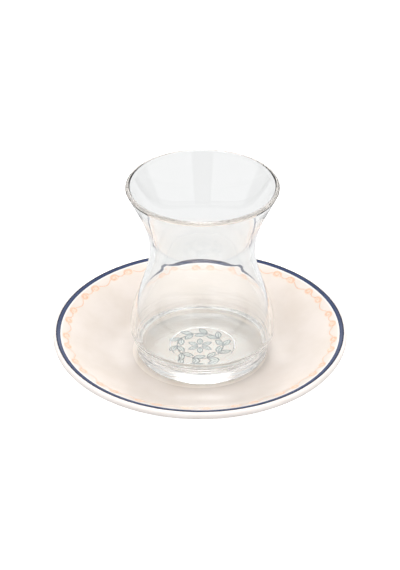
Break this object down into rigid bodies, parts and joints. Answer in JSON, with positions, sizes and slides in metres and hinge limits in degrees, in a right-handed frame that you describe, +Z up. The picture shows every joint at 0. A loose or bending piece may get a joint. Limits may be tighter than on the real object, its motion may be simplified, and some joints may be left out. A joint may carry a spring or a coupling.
{
  "type": "turkish tea glass",
  "caption": "Empty slim-waisted clear tea glass with a thick base, standing in the well of a shallow round cream saucer with a blue rim line and a scroll border.",
  "frame": {"origin": "on the saucer's axis, in the plane that its foot ring stands on", "axes": "+Z up along the saucer's axis, +X to the right and -Y towards the viewer of the front view"},
  "size_m": [0.1206, 0.1206, 0.0842],
  "materials": {
    "clear_glass": "clear pressed soda-lime glass, polished",
    "glazed_porcelain": "glossy cream glaze with a blue rim line and a peach scroll border"
  },
  "bodies": {
    "root": {"saucer": "glazed_porcelain", "tea_glass": "clear_glass"}
  },
  "joints": []
}
